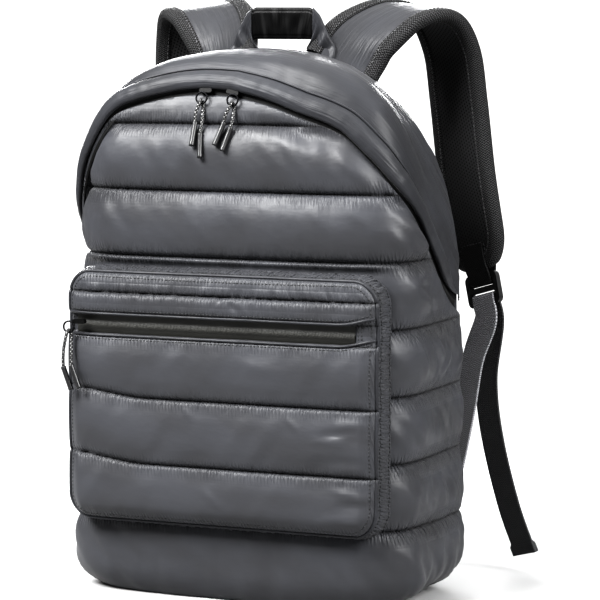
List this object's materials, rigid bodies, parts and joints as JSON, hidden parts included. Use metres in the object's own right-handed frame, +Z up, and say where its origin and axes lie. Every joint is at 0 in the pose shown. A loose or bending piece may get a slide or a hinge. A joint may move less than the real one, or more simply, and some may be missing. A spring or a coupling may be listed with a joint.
{
  "type": "quilted puffer backpack",
  "caption": "Puffer backpack with horizontal padded channels, an arched zip top, a zipped front pocket, a grab handle and padded shoulder straps.",
  "frame": {"origin": "on the floor, under the middle of the standing bag's box without its loose zip pulls", "axes": "+Z up, the quilted front faces -Y, the back panel and straps are at +Y"},
  "size_m": [0.3858, 0.245, 0.4803],
  "materials": {
    "quilted_nylon": "satin woven nylon over wadding",
    "smooth_nylon": "satin woven nylon",
    "air_mesh": "black spacer mesh",
    "black_webbing": "ribbed woven tape",
    "grey_webbing": "ribbed woven tape",
    "zip_cloth": "coil zip on woven tape",
    "black_plastic": "moulded",
    "dark_metal": "dark plated",
    "pull_cord": "round braid with light flecks",
    "shrink_tube": "shiny tube"
  },
  "bodies": {
    "root": {"quilted_shell": "quilted_nylon", "top_gusset": "smooth_nylon", "back_panel": "air_mesh", "zip_welt": "smooth_nylon", "main_zip_tape": "zip_cloth", "pocket_shell": "quilted_nylon", "pocket_zip_tape": "zip_cloth", "pocket_piping": "quilted_nylon", "handle_grip": "black_webbing", "handle_end_left": "smooth_nylon", "handle_end_right": "smooth_nylon", "strap_pad_left": "air_mesh", "strap_pad_right": "air_mesh", "strap_binding_left": "black_webbing", "strap_binding_right": "black_webbing", "strap_tab_left": "black_webbing", "strap_tab_right": "black_webbing", "ladder_lock_left": "black_plastic", "ladder_lock_right": "black_plastic", "adjuster_web_left": "grey_webbing", "adjuster_web_right": "grey_webbing", "web_anchor_left": "black_webbing", "web_anchor_right": "black_webbing", "main_slider_left": "dark_metal", "main_slider_right": "dark_metal", "pocket_slider": "dark_metal", "main_left_ring": "dark_metal", "main_left_cord": "pull_cord", "main_left_cord_end_a": "shrink_tube", "main_left_cord_end_b": "shrink_tube", "main_right_ring": "dark_metal", "main_right_cord": "pull_cord", "main_right_cord_end_a": "shrink_tube", "main_right_cord_end_b": "shrink_tube", "pocket_ring": "dark_metal", "pocket_cord": "pull_cord", "pocket_cord_end_a": "shrink_tube", "pocket_cord_end_b": "shrink_tube"}
  },
  "joints": []
}
